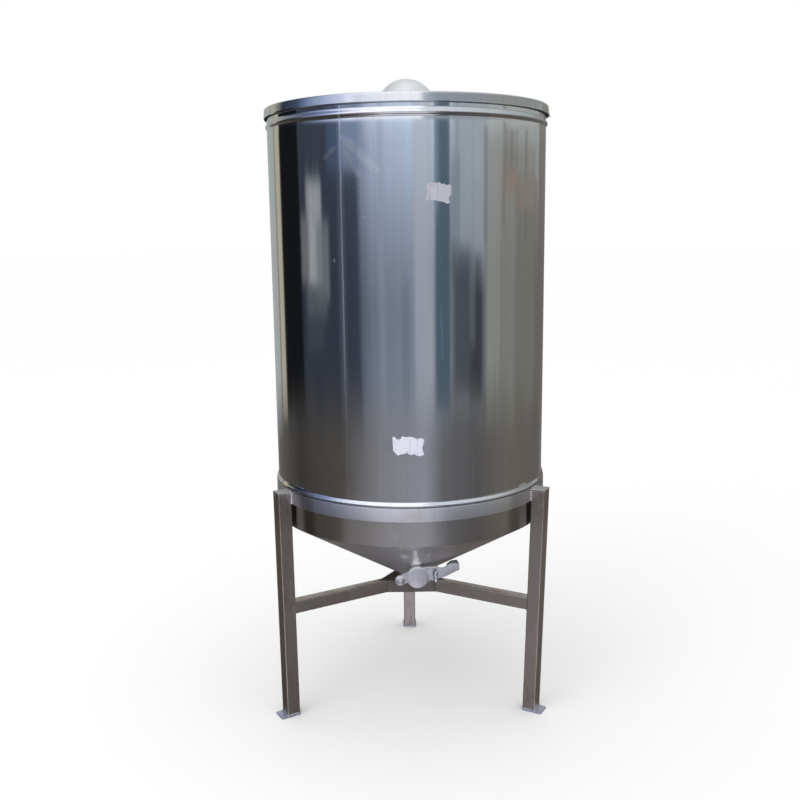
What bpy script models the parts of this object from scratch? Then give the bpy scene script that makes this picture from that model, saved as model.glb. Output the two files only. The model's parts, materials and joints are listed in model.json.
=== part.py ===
"""Honey settling tank: a stainless cylinder with a cone bottom, a lift-off lid, a lever gate
and a welded three-legged stand. Metres, +Z up, floor at z = 0, front towards -Y."""

import math

import bmesh
import bpy
from mathutils import Matrix, Vector

# Tank
TANK_R = 0.400              # outer radius of the wall
WALL_T = 0.0015             # stainless sheet
CONE_TOP_Z = 0.580          # where the wall ends and the cone begins
CONE_APEX_Z = 0.340         # where the cone's outer surface would meet the axis
TIP_R = 0.034               # radius at which the cone is cut off and closed
TIP_T = 0.002
BEAD_R = 0.012              # half height of the pressed beads
BEAD_OUT = 0.0098           # how far a bead stands out of the wall
BEAD_BELOW_LID = 0.005      # between the lid's edge and the upper bead

# Lid
LID_TOP_Z = 1.756
LID_R = 0.4100
LID_T = 0.0012
LID_SKIRT = 0.0255          # height of the folded edge
LID_BEND = 0.003            # radius of the fold
HEM_OUT = 0.0014            # the rolled lower edge stands out by this
HEM_H = 0.005
HEM_FACE_LOW_Z = 0.0015     # the hem's upright face, above the edge
HEM_FACE_HIGH_Z = 0.0035
DOME_R = 0.086              # domed cap in the middle of the lid
DOME_T = 0.0015
DOME_RIM = 0.005            # flat rim welded to the lid

# Stand
STAND_TOP_Z = 0.688
HOOP_H = 0.037
HOOP_T = 0.006
HOOP_R = 0.4065             # outer radius
LEG = 0.040                 # square tube
TUBE_T = 0.002
TUBE_CORNER = 0.003
CAP_T = 0.002
FOOT_T = 0.005
FOOT_LONG = 0.060
FOOT_WIDE = 0.046
FOOT_CORNER = 0.004
BRACE_W = 0.030
BRACE_H = 0.038
BRACE_TOP_Z = 0.354
HUB_IN = 0.060              # distance of the hub's outer faces from the axis
HUB_T = 0.006
BRACE_OVER_HUB = 0.040      # the hub's corners cut this much out of the braces' inner ends
# Each leg's angle round the axis, and how far it leans in towards the floor, metres per metre
LEGS = {"left": (210.0, 0.008), "right": (330.0, 0.030), "back": (90.0, 0.019)}

# Outlet and gate. U runs to the right across the gate's face, V runs up.
OUTLET_TURN = 5.0           # degrees that the outlet points to the right of the front
OUTLET_Z = 0.415
PIPE_R = 0.024
PIPE_T = 0.002
PIPE_SPARE = 0.010          # extra length that the cone's shape cuts away
BORE_R = PIPE_R - PIPE_T
GATE_FRONT = 0.197          # distance of the blade's front face from the axis
BLADE_T = 0.005
BODY_T = 0.012
BODY_R = 0.030
DISC_R = 0.033
PIVOT_U = -0.051
PIVOT_V = -0.007
STUD_U = 0.052
STUD_V = 0.005
BODY_PIVOT_EAR_R = 0.012
BODY_STUD_EAR_R = 0.011
BODY_EAR_ROOT_R = 0.020     # where the body's ears run into its ring
BLADE_EAR_R = 0.015
BLADE_EAR_ROOT_R = 0.024
BOLT_R = 0.004
BOLT_HOLE_R = 0.0043
BOLT_HEAD_R = 0.0095
BOLT_HEAD_H = 0.006
BOLT_HEAD_EDGE = 0.0005     # upright edge under the round head
BOLT_BEHIND = 0.002         # the bolt and the stud end this far behind the body
SLOT_W = 0.0115
SLOT_LONG = 0.050           # runs out of the handle's upper edge
SLOT_TILT = 13.7            # degrees, along the stud's path as the blade swings down
HANDLE_TILT = 17.3
HANDLE_END_U = 0.110        # middle of the handle's round end
HANDLE_END_V = 0.026
HANDLE_R = 0.015
HANDLE_LONG = 0.070         # from the round end's middle to the handle's root on the disc
HANDLE_ROOT_R = 0.014
WASHER_R = 0.010
WASHER_T = 0.0015
WING_HUB_R = 0.0075
WING_HUB_TOP_R = 0.0064
WING_HUB_H = 0.011
WING_SPAN = 0.036           # over both wings
WING_W = 0.0062
WING_T = 0.006
WING_CORNER = 0.0028
NUT_CLEAR = 0.0005          # between the blade and the wing nut
STUD_AHEAD = 0.005          # the stud's end in front of the wing nut

# General
GAP = 0.0003                # between pieces that touch or are welded
ROUND = 72                  # sides of the large turned pieces
DOME_ROUND = 48
SMALL_ROUND = 32
BOLT_ROUND = 24


def leg_face_r(lean, z):
    """Distance of a leg's inner face from the axis. It touches the hoop at the hoop's lower edge."""
    return HOOP_R + GAP + lean * (z - (STAND_TOP_Z - HOOP_H))


# The frame's origin is under the middle of the whole, so the tank's axis stands a little in front of it.
BACK_REACH = leg_face_r(LEGS["back"][1], 0.0) + FOOT_LONG
AXIS_Y = (LID_R + HEM_OUT - BACK_REACH) / 2

CONE_SLOPE = (CONE_TOP_Z - CONE_APEX_Z) / TANK_R
WALL_TOP_Z = LID_TOP_Z - LID_T - GAP
BEAD_LOW_Z = STAND_TOP_Z + GAP + BEAD_R
BEAD_HIGH_Z = LID_TOP_Z - LID_SKIRT - BEAD_BELOW_LID - BEAD_R


def start():
    """Empty the scene and make the collections for the parts and for the cutters."""
    for old in list(bpy.data.objects):
        bpy.data.objects.remove(old, do_unlink=True)
    groups = {}
    for name in ("honey_settling_tank", "cutters"):
        group = bpy.data.collections.get(name) or bpy.data.collections.new(name)
        if group.name not in bpy.context.scene.collection.children:
            bpy.context.scene.collection.children.link(group)
        groups[name] = group
    return groups["honey_settling_tank"], groups["cutters"]


PARTS, CUTTERS = start()


def finish_material(name, colour, roughness, metallic):
    """A Principled BSDF with one colour."""
    material = bpy.data.materials.new(name)
    material.use_nodes = True
    shader = material.node_tree.nodes["Principled BSDF"]
    shader.inputs["Base Color"].default_value = (*colour, 1.0)
    shader.inputs["Roughness"].default_value = roughness
    shader.inputs["Metallic"].default_value = metallic
    return material


def add_object(name, data, group=PARTS, parent=None):
    """Link a mesh or a curve into a collection as a named object."""
    item = bpy.data.objects.new(name, data)
    group.objects.link(item)
    if parent is not None:
        item.parent = parent
    return item


def add_empty(name, parent=None, place=(0.0, 0.0, 0.0), turn=0.0):
    """An empty that carries pieces, turned about its Z by some degrees."""
    empty = add_object(name, None, parent=parent)
    empty.location = place
    empty.rotation_euler = (0.0, 0.0, math.radians(turn))
    return empty


def shade(item, material):
    """Smooth shading with sharp edges, and the material."""
    item.data.materials.clear()
    item.data.materials.append(material)
    if item.type == "MESH":
        item.data.shade_smooth()
        item.data.set_sharp_from_angle(angle=math.radians(35))
    return item


def turned(name, profile, closed, parent, steps=ROUND):
    """A turned shape: the profile, a list of (radius, z), goes round the vertical axis."""
    mesh = bpy.data.meshes.new(name)
    points = [(radius, 0.0, z) for radius, z in profile]
    edges = [(i, i + 1) for i in range(len(points) - 1)]
    if closed:
        edges.append((len(points) - 1, 0))
    mesh.from_pydata(points, edges, [])
    item = add_object(name, mesh, parent=parent)
    screw = item.modifiers.new("turn", "SCREW")
    screw.steps = steps
    screw.render_steps = steps
    screw.use_merge_vertices = True
    screw.merge_threshold = 0.00001
    screw.use_normal_calculate = False
    return item


def thicken(item, thickness):
    """Give an open surface its sheet thickness, inwards."""
    solidify = item.modifiers.new("sheet", "SOLIDIFY")
    solidify.thickness = thickness
    solidify.offset = -1.0
    solidify.use_even_offset = True
    return item


def cut(item, cutter):
    """Take a cutter away from a piece."""
    boolean = item.modifiers.new("cut " + cutter.name, "BOOLEAN")
    boolean.operation = "DIFFERENCE"
    boolean.solver = "EXACT"
    boolean.object = cutter
    cutter.hide_render = True
    cutter.display_type = "WIRE"


def drum(name, radius, low, high, group, parent, sides=SMALL_ROUND, top_radius=None):
    """A cylinder or cone along its own Z, from low to high."""
    mesh = bpy.data.meshes.new(name)
    shape = bmesh.new()
    bmesh.ops.create_cone(shape, cap_ends=True, segments=sides, radius1=radius,
                          radius2=radius if top_radius is None else top_radius, depth=high - low)
    bmesh.ops.translate(shape, vec=(0.0, 0.0, (low + high) / 2), verts=shape.verts)
    shape.to_mesh(mesh)
    shape.free()
    return add_object(name, mesh, group, parent)


def block(name, size, centre, parent):
    """A box that cuts, with its middle at centre."""
    mesh = bpy.data.meshes.new(name)
    shape = bmesh.new()
    bmesh.ops.create_cube(shape, size=1.0)
    bmesh.ops.scale(shape, vec=size, verts=shape.verts)
    bmesh.ops.translate(shape, vec=centre, verts=shape.verts)
    shape.to_mesh(mesh)
    shape.free()
    return add_object(name, mesh, CUTTERS, parent)


def arc(centre, radius, start_deg, end_deg, count):
    """Points on an arc, both ends included."""
    points = []
    for i in range(count + 1):
        angle = math.radians(start_deg + (end_deg - start_deg) * i / count)
        points.append((centre[0] + radius * math.cos(angle), centre[1] + radius * math.sin(angle)))
    return points


def circle(centre, radius, count=SMALL_ROUND):
    """Points round a full circle."""
    return arc(centre, radius, 0.0, 360.0, count)[:-1]


def round_box(wide, high, corner, count=3):
    """A rectangle about the origin with round corners."""
    points = []
    for x_side, y_side, start_deg in ((1, 1, 0), (-1, 1, 90), (-1, -1, 180), (1, -1, 270)):
        centre = (x_side * (wide / 2 - corner), y_side * (high / 2 - corner))
        points += arc(centre, corner, start_deg, start_deg + 90, count)
    return points


def plate(name, outlines, thickness, parent, group=PARTS):
    """A flat plate in its own XY plane, its middle at z = 0; the second and later outlines are holes."""
    flat = bpy.data.curves.new(name, "CURVE")
    flat.dimensions = "2D"
    flat.fill_mode = "BOTH"
    flat.extrude = thickness / 2
    for outline in outlines:
        spline = flat.splines.new("POLY")
        spline.points.add(len(outline) - 1)
        for point, (x, y) in zip(spline.points, outline):
            point.co = (x, y, 0.0, 1.0)
        spline.use_cyclic_u = True
    guide = add_object(name + "_outline", flat, group, parent)
    bpy.context.view_layer.update()
    evaluated = guide.evaluated_get(bpy.context.evaluated_depsgraph_get())
    mesh = bpy.data.meshes.new_from_object(evaluated)
    shape = bmesh.new()
    shape.from_mesh(mesh)
    bmesh.ops.remove_doubles(shape, verts=shape.verts, dist=0.00001)
    bmesh.ops.recalc_face_normals(shape, faces=shape.faces)
    shape.to_mesh(mesh)
    shape.free()
    bpy.data.objects.remove(guide, do_unlink=True)
    mesh.name = name
    return add_object(name, mesh, group, parent)


def join_by_union(name, pieces, parent):
    """Join overlapping meshes into one closed body."""
    first = pieces[0]
    for other in pieces[1:]:
        boolean = first.modifiers.new("join", "BOOLEAN")
        boolean.operation = "UNION"
        boolean.solver = "EXACT"
        boolean.object = other
    bpy.context.view_layer.update()
    evaluated = first.evaluated_get(bpy.context.evaluated_depsgraph_get())
    mesh = bpy.data.meshes.new_from_object(evaluated)
    place = first.matrix_basis.copy()
    for piece in pieces:
        bpy.data.objects.remove(piece, do_unlink=True)
    mesh.name = name
    item = add_object(name, mesh, parent=parent)
    item.matrix_basis = place
    return item


def cone_radius(z):
    """Outer radius of the cone at a height."""
    return (z - CONE_APEX_Z) / CONE_SLOPE


def bead(z, count=6):
    """The half-round bead on the wall's outer line, from its upper foot to its lower foot."""
    points = []
    for i in range(count + 1):
        angle = math.pi * i / count
        points.append((TANK_R + BEAD_OUT * math.sin(angle), z + BEAD_R * math.cos(angle)))
    return points


def make_tank(axis, steel):
    """The wall with its two pressed beads, the cone and the disc that closes its tip."""
    line = [(TANK_R, WALL_TOP_Z)] + bead(BEAD_HIGH_Z) + bead(BEAD_LOW_Z) + [(TANK_R, CONE_TOP_Z)]
    wall = thicken(turned("tank_wall", line, False, axis), WALL_T)
    shade(wall, steel)

    top_z = CONE_TOP_Z - GAP
    tip_z = CONE_APEX_Z + TIP_R * CONE_SLOPE
    sheet_rise = WALL_T / math.cos(math.atan(CONE_SLOPE))
    line = [(cone_radius(top_z), top_z), (TIP_R, tip_z), (TIP_R, tip_z + sheet_rise),
            (cone_radius(top_z - sheet_rise), top_z)]
    cone = turned("tank_cone", line, True, axis)
    shade(cone, steel)

    tip = drum("cone_tip", TIP_R, tip_z - GAP - TIP_T, tip_z - GAP, PARTS, axis, ROUND)
    shade(tip, steel)
    return cone


def make_lid(axis, steel, lid_steel):
    """The flat lid with its folded edge, and the domed cap on it. Both have their origin on the lid."""
    lid_place = add_empty("lid_place", axis, (0.0, 0.0, WALL_TOP_Z))
    top = LID_TOP_Z - WALL_TOP_Z
    low = top - LID_SKIRT
    line = [(0.0, top)] + arc((LID_R - LID_BEND, top - LID_BEND), LID_BEND, 90, 0, 4)
    line += [(LID_R, low + HEM_H), (LID_R + HEM_OUT, low + HEM_FACE_HIGH_Z),
             (LID_R + HEM_OUT, low + HEM_FACE_LOW_Z), (LID_R, low)]
    lid = thicken(turned("lid_plate", line, False, lid_place), LID_T)
    shade(lid, lid_steel)

    rim_z = top + GAP + DOME_T
    line = [(0.0, rim_z + DOME_R)] + arc((0.0, rim_z), DOME_R, 80, 0, 8)
    line.append((DOME_R + DOME_RIM, rim_z))
    dome = thicken(turned("lid_dome", line, False, lid_place, DOME_ROUND), DOME_T)
    shade(dome, steel)


def make_stand(axis, stand_steel):
    """The hoop that the tank's lower bead sits on, three legs, their feet, the braces and the hub."""
    inner = HOOP_R - HOOP_T
    low = STAND_TOP_Z - HOOP_H
    line = [(HOOP_R, STAND_TOP_Z), (HOOP_R, low), (inner, low), (inner, STAND_TOP_Z)]
    shade(turned("stand_hoop", line, True, axis), stand_steel)

    corner_r = 2 * HUB_IN
    outer = [(corner_r * math.cos(math.radians(a)), corner_r * math.sin(math.radians(a)))
             for a in (90, 210, 330)]
    shrink = (HUB_IN - HUB_T) / HUB_IN
    hole = [(x * shrink, y * shrink) for x, y in outer]
    hub = plate("hub_frame", [outer, hole], BRACE_H, axis)
    hub.location = (0.0, 0.0, BRACE_TOP_Z - BRACE_H / 2)
    shade(hub, stand_steel)
    grow = (HUB_IN + GAP) / HUB_IN
    notch = plate("hub_notch", [[(x * grow, y * grow) for x, y in outer]], 2 * BRACE_H, axis, CUTTERS)
    notch.location = hub.location

    for side, (angle, lean) in LEGS.items():
        spoke = add_empty("spoke_" + side, axis, turn=angle)
        make_leg(side, lean, spoke, stand_steel)
        make_brace(side, lean, spoke, notch, stand_steel)


def make_leg(side, lean, spoke, stand_steel):
    """One leg: a square tube that leans in towards the floor, its top cap and its foot plate."""
    low = FOOT_T + GAP
    high = STAND_TOP_Z - CAP_T - GAP
    outline = round_box(LEG, LEG, TUBE_CORNER)
    bore = round_box(LEG - 2 * TUBE_T, LEG - 2 * TUBE_T, TUBE_CORNER / 2)
    leg = plate("leg_" + side, [outline, bore], high - low, spoke)
    middle = (low + high) / 2
    shear = Matrix.Identity(4)
    shear[0][2] = lean
    leg.data.transform(shear)
    leg.location = (leg_face_r(lean, middle) + LEG / 2, 0.0, middle)
    shade(leg, stand_steel)

    cap = plate("leg_cap_" + side, [outline], CAP_T, spoke)
    cap_z = STAND_TOP_Z - CAP_T / 2
    cap.location = (leg_face_r(lean, cap_z) + LEG / 2, 0.0, cap_z)
    shade(cap, stand_steel)

    foot = plate("foot_plate_" + side, [round_box(FOOT_LONG, FOOT_WIDE, FOOT_CORNER)], FOOT_T, spoke)
    foot.location = (leg_face_r(lean, 0.0) + FOOT_LONG / 2, 0.0, FOOT_T / 2)
    shade(foot, stand_steel)


def make_brace(side, lean, spoke, notch, stand_steel):
    """One brace: a flat-sided tube from the leg to the hub's corner, notched over the corner."""
    outer_end = leg_face_r(lean, BRACE_TOP_Z - BRACE_H) - GAP
    inner_end = 2 * HUB_IN - BRACE_OVER_HUB
    outline = round_box(BRACE_H, BRACE_W, TUBE_CORNER)
    bore = round_box(BRACE_H - 2 * TUBE_T, BRACE_W - 2 * TUBE_T, TUBE_CORNER / 2)
    brace = plate("brace_" + side, [outline, bore], outer_end - inner_end, spoke)
    brace.data.transform(Matrix.Rotation(math.radians(90), 4, "Y"))
    brace.location = ((outer_end + inner_end) / 2, 0.0, BRACE_TOP_Z - BRACE_H / 2)
    cut(brace, notch)
    shade(brace, stand_steel)


def gate_piece(name, outlines, front, thickness, parent):
    """A plate in the gate's plane: its front face lies at the distance front from the axis."""
    item = plate(name, outlines, thickness, parent)
    item.data.transform(Matrix.Translation((0.0, 0.0, front - thickness / 2)))
    return item


def make_outlet(axis, cone, steel, cast_steel):
    """The outlet pipe and the lever gate. Their own Z runs out along the pipe, X to the right, Y up."""
    outlet = add_empty("outlet", axis)
    turn = Matrix.Rotation(math.radians(OUTLET_TURN), 4, "Z")
    lay = Matrix.Rotation(math.radians(90), 4, "X")
    outlet.matrix_basis = Matrix.Translation((0.0, 0.0, OUTLET_Z)) @ turn @ lay

    body_front = GATE_FRONT - BLADE_T - GAP
    body_back = body_front - BODY_T
    cut(cone, drum("cone_bore", BORE_R, TIP_R, body_back, CUTTERS, outlet))

    pipe_outline = circle((0.0, 0.0), PIPE_R)
    pipe_bore = circle((0.0, 0.0), BORE_R)
    pipe_back = cone_radius(OUTLET_Z - PIPE_R) - PIPE_SPARE
    pipe = gate_piece("outlet_pipe", [pipe_outline, pipe_bore], body_back - GAP,
                      body_back - GAP - pipe_back, outlet)
    lift = GAP / math.cos(math.atan(CONE_SLOPE))
    cone_solid = drum("cone_solid", 0.0, CONE_APEX_Z - lift, CONE_TOP_Z, CUTTERS, axis, ROUND,
                      cone_radius(CONE_TOP_Z + lift))
    cut(pipe, cone_solid)
    shade(pipe, steel)

    pivot = (PIVOT_U, PIVOT_V)
    stud = (STUD_U, STUD_V)
    make_gate_body(outlet, pivot, stud, body_front, cast_steel)
    make_blade(outlet, pivot, stud, cast_steel)
    make_bolts(outlet, pivot, stud, body_back, steel)


def lobe(centre, radius, other, other_radius):
    """A rounded ear: the outline round two discs, one at centre and one at other."""
    away = Vector((other[0] - centre[0], other[1] - centre[1]))
    heading = math.degrees(math.atan2(away.y, away.x))
    lean = math.degrees(math.acos((radius - other_radius) / away.length))
    near = arc(centre, radius, heading + lean, heading + 360 - lean, 14)
    far = arc(other, other_radius, heading - lean, heading + lean, 10)
    return near + far


def make_gate_body(outlet, pivot, stud, body_front, cast_steel):
    """The gate's body: a ring round the bore with an ear at each side, for the pivot and the clamp."""
    centre = (0.0, 0.0)
    bore = circle(centre, BORE_R)
    pieces = [gate_piece("gate_body_ring", [circle(centre, BODY_R)], body_front, BODY_T, outlet)]
    for name, place, radius in (("gate_body_ear_a", pivot, BODY_PIVOT_EAR_R),
                                ("gate_body_ear_b", stud, BODY_STUD_EAR_R)):
        ear = lobe(place, radius, centre, BODY_EAR_ROOT_R)
        pieces.append(gate_piece(name, [ear], body_front, BODY_T, outlet))
    body = join_by_union("gate_body", pieces, outlet)
    for name, place, radius in (("body_bore", centre, BORE_R), ("body_pivot_hole", pivot, BOLT_HOLE_R),
                                ("body_stud_hole", stud, BOLT_HOLE_R)):
        cutter = drum(name, radius, body_front - 2 * BODY_T, body_front + BODY_T, CUTTERS, outlet)
        cutter.location = (place[0], place[1], 0.0)
        cut(body, cutter)
    shade(body, cast_steel)


def make_blade(outlet, pivot, stud, cast_steel):
    """The blade that swings down about its pivot: a disc over the bore, an ear and a handle."""
    hinge = add_empty("blade_hinge", outlet, (pivot[0], pivot[1], GATE_FRONT))
    bore_centre = (-pivot[0], -pivot[1])
    handle_end = (HANDLE_END_U - pivot[0], HANDLE_END_V - pivot[1])
    tilt = math.radians(HANDLE_TILT)
    handle_root = (handle_end[0] - HANDLE_LONG * math.cos(tilt), handle_end[1] - HANDLE_LONG * math.sin(tilt))
    disc = circle(bore_centre, DISC_R, 40)
    ear = lobe((0.0, 0.0), BLADE_EAR_R, bore_centre, BLADE_EAR_ROOT_R)
    handle = lobe(handle_end, HANDLE_R, handle_root, HANDLE_ROOT_R)
    pieces = []
    for name, outline in (("blade_disc", disc), ("blade_ear", ear), ("blade_handle", handle)):
        pieces.append(gate_piece(name, [outline], 0.0, BLADE_T, hinge))
    blade = join_by_union("gate_blade", pieces, hinge)
    cut(blade, drum("blade_pivot_hole", BOLT_HOLE_R, -2 * BLADE_T, BLADE_T, CUTTERS, hinge))
    slot_size = (SLOT_W, SLOT_LONG, 4 * BLADE_T)
    slot = block("blade_slot", slot_size, (0.0, SLOT_LONG / 2, 0.0), hinge)
    slot.location = (stud[0] - pivot[0], stud[1] - pivot[1], 0.0)
    slot.rotation_euler = (0.0, 0.0, math.radians(SLOT_TILT))
    cut(blade, slot)
    slot_end = drum("blade_slot_end", SLOT_W / 2, -2 * BLADE_T, BLADE_T, CUTTERS, hinge)
    slot_end.location = slot.location
    cut(blade, slot_end)
    shade(blade, cast_steel)


def make_bolts(outlet, pivot, stud, body_back, steel):
    """The pivot bolt with its round head, the clamp's stud and the wing nut on it."""
    bolt_front = GATE_FRONT + GAP
    back = body_back - BOLT_BEHIND
    line = [(0.0, BOLT_HEAD_H)]
    for degrees in (18, 36, 54, 72):
        angle = math.radians(degrees)
        line.append((BOLT_HEAD_R * math.sin(angle), BOLT_HEAD_H * math.cos(angle)))
    line += [(BOLT_HEAD_R, BOLT_HEAD_EDGE), (BOLT_HEAD_R, 0.0), (BOLT_R, 0.0)]
    line += [(BOLT_R, back - bolt_front), (0.0, back - bolt_front)]
    bolt = turned("gate_pivot_bolt", line, False, outlet, BOLT_ROUND)
    bolt.location = (pivot[0], pivot[1], bolt_front)
    shade(bolt, steel)

    clamp_front = GATE_FRONT + NUT_CLEAR
    front = clamp_front + WING_HUB_H + STUD_AHEAD
    stud_piece = drum("gate_clamp_stud", BOLT_R, back, front, PARTS, outlet, BOLT_ROUND)
    stud_piece.location = (stud[0], stud[1], 0.0)
    shade(stud_piece, steel)

    nut_place = add_empty("wing_nut_axis", outlet, (stud[0], stud[1], clamp_front))
    washer = drum("wing_washer", WASHER_R, 0.0, WASHER_T, PARTS, nut_place, BOLT_ROUND)
    hub = drum("wing_hub", WING_HUB_R, WASHER_T / 2, WING_HUB_H, PARTS, nut_place, BOLT_ROUND, WING_HUB_TOP_R)
    wings = plate("wing_blades", [round_box(WING_W, WING_SPAN, WING_CORNER)], WING_T, nut_place)
    wings.data.transform(Matrix.Translation((0.0, 0.0, WING_HUB_H - WING_T / 2)))
    nut = join_by_union("gate_wing_nut", [washer, hub, wings], nut_place)
    cut(nut, drum("wing_nut_bore", BOLT_HOLE_R, -WING_HUB_H, 2 * WING_HUB_H, CUTTERS, nut_place, BOLT_ROUND))
    shade(nut, steel)


def make_model():
    """All pieces hang on one empty on the tank's axis."""
    steel = finish_material("polished_steel", (0.62, 0.64, 0.66), 0.14, 1.0)
    lid_steel = finish_material("lid_steel", (0.68, 0.69, 0.70), 0.22, 1.0)
    stand_steel = finish_material("stand_steel", (0.52, 0.50, 0.47), 0.32, 1.0)
    cast_steel = finish_material("cast_steel", (0.60, 0.60, 0.62), 0.38, 1.0)
    axis = add_empty("tank_axis", place=(0.0, AXIS_Y, 0.0))
    cone = make_tank(axis, steel)
    make_lid(axis, steel, lid_steel)
    make_stand(axis, stand_steel)
    make_outlet(axis, cone, steel, cast_steel)


make_model()
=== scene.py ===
"""Looks of the honey settling tank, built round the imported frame. Metres, +Z up, front towards -Y."""

import json
from math import atan, atan2, cos, exp, hypot, pi, radians, sin, sqrt, tan
import random

import bmesh
import bpy
from mathutils import Matrix, Vector, noise


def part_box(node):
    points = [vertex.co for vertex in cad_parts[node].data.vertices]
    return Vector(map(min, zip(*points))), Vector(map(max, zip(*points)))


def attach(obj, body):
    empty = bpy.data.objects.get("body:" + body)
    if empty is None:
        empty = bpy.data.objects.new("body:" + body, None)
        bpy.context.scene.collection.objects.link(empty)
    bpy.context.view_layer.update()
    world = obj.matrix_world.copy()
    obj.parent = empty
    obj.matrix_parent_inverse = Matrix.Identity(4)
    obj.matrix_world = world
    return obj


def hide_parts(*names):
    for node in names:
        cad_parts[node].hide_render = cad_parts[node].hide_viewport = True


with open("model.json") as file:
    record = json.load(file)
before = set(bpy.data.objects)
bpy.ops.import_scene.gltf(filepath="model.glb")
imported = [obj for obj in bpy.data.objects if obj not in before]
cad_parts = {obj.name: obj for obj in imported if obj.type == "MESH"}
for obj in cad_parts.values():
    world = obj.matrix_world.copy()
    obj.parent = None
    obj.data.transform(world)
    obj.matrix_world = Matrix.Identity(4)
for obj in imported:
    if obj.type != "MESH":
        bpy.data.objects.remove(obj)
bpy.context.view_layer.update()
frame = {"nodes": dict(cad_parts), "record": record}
BODIES = {node: body for body, nodes in frame["record"]["behaviour"]["bodies"].items() for node in nodes}


def middle(node):
    low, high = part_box(node)
    return (low + high) / 2


def reach(node):
    """Half the width of a node."""
    low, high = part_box(node)
    return (high.x - low.x) / 2


# Tank
AXIS = Vector((*middle("tank_wall").xy, 0))
TANK_AT = Matrix.Translation(AXIS)
WALL_LOW_Z, WALL_TOP_Z = (corner.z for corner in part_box("tank_wall"))
HOOP_LOW_Z, HOOP_TOP_Z = (corner.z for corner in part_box("stand_hoop"))
LID_LOW_Z, LID_TOP_Z = (corner.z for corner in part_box("lid_plate"))
GAP = 0.0003
TANK_R = 0.4
WALL_T = 0.0015
NECK = 0.0006  # how far the wall is drawn in at the high bead
# Pressed beads as (reach up, reach down, swell)
HIGH_BEAD = (0.013, 0.0092, 0.0048)
LOW_BEAD = (0.012, 0.0048, 0.005)
BEAD_HIGH_Z = LID_LOW_Z - 0.0232
BEAD_LOW_Z = HOOP_TOP_Z + 0.0052
SEAM_TURN = radians(-25.8)
LID_R = 0.408
LID_T = 0.0012
LIP_TURN = radians(-10)
CONE_APEX_Z = 0.34
CONE_SLOPE = (WALL_LOW_Z - CONE_APEX_Z) / TANK_R
TIP_R = 0.034

# Outlet and gate. The outlet's frame has Z out along the pipe, X to the right and Y up.
OUTLET_TURN = radians(5)
OUTLET_Z = 0.415
OUTLET_AT = (Matrix.Translation(AXIS + Vector((0, 0, OUTLET_Z))) @ Matrix.Rotation(OUTLET_TURN, 4, "Z")
             @ Matrix.Rotation(radians(90), 4, "X"))
PIPE_R = 0.024
BORE_R = 0.022
GATE_FRONT = 0.197
BLADE_BACK = GATE_FRONT - 0.005
BODY_FRONT = BLADE_BACK - GAP
BODY_BACK = BODY_FRONT - 0.012
PIVOT = (-0.051, -0.007)
STUD = (0.052, 0.005)

# Stand
HOOP_R = reach("stand_hoop")
HOOP_T = 0.006
LEG = 0.04
# Each leg's turn in degrees and its lean outwards with the height
LEGS = {"left": (210, 0.008), "right": (330, 0.03), "back": (90, 0.019)}
FOOT_T = 0.006
BRACE_TOP_Z = 0.354
BRACE_H = 0.038
BRACE_W = 0.03
HUB_IN = 0.06


# --- Node trees ---
class Graph:
    """Short calls that add nodes to a tree. Each returns the socket that it made."""

    def __init__(self, tree):
        self.tree = tree

    def feed(self, node, inputs):
        """Gives each input of a node a socket or a fixed value."""
        for key, value in inputs.items():
            if isinstance(value, bpy.types.NodeSocket):
                self.tree.links.new(value, node.inputs[key])
            else:
                node.inputs[key].default_value = value

    def make(self, kind, inputs=None, output=0, **settings):
        node = self.tree.nodes.new(kind)
        for key, value in settings.items():
            setattr(node, key, value)
        self.feed(node, inputs or {})
        return node.outputs[output]

    def math(self, operation, a, b=0, c=0, clamp=False):
        return self.make("ShaderNodeMath", {0: a, 1: b, 2: c}, operation=operation, use_clamp=clamp)

    def times(self, a, b):
        return self.math("MULTIPLY", a, b)

    def minus(self, a, b):
        return self.math("SUBTRACT", a, b)

    def scale_add(self, a, b, c, clamp=False):
        """a times b plus c."""
        return self.math("MULTIPLY_ADD", a, b, c, clamp)

    def add_shares(self, value, *shares):
        """A value plus some masks times their shares, kept within 0 and 1 at the end."""
        for mask, share in shares[:-1]:
            value = self.scale_add(mask, share, value)
        return self.scale_add(*shares[-1], value, True)

    def mix(self, factor, a, b, mode="MIX"):
        return self.make("ShaderNodeMix", {0: factor, 6: colour(a), 7: colour(b)}, 2,
                         data_type="RGBA", blend_type=mode)

    def layers(self, base, *rows):
        """The base under further tones. Each row is a mask, its share and the tone."""
        for mask, share, tone in rows:
            base = self.mix(self.times(mask, share), base, tone)
        return base

    def span(self, value, low, high, to_low=0, to_high=1):
        return self.make("ShaderNodeMapRange", {0: value, 1: low, 2: high, 3: to_low, 4: to_high},
                         interpolation_type="SMOOTHSTEP")

    def ramp(self, factor, stops):
        node = self.tree.nodes.new("ShaderNodeValToRGB")
        elements = node.color_ramp.elements
        while len(elements) < len(stops):
            elements.new(0.5)
        for element, (place, tone) in zip(elements, stops):
            element.position = place
            element.color = colour(tone)
        self.tree.links.new(factor, node.inputs[0])
        return node.outputs[0]

    def noise(self, vector, scale, detail=2, roughness=0.5):
        return self.make("ShaderNodeTexNoise", {"Vector": vector, "Scale": scale, "Detail": detail,
                                                "Roughness": roughness})

    def scaled(self, vector, scale, turn=(0, 0, 0), shift=(0, 0, 0)):
        return self.make("ShaderNodeMapping", {"Vector": vector, "Scale": scale, "Rotation": turn,
                                               "Location": shift})

    def xyz(self, vector):
        return self.make("ShaderNodeSeparateXYZ", {0: vector}).node.outputs[:]

    def turn_from_front(self, x, y):
        """The angle round Z from the front, in radians."""
        return self.math("ARCTAN2", x, self.times(y, -1))


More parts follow.
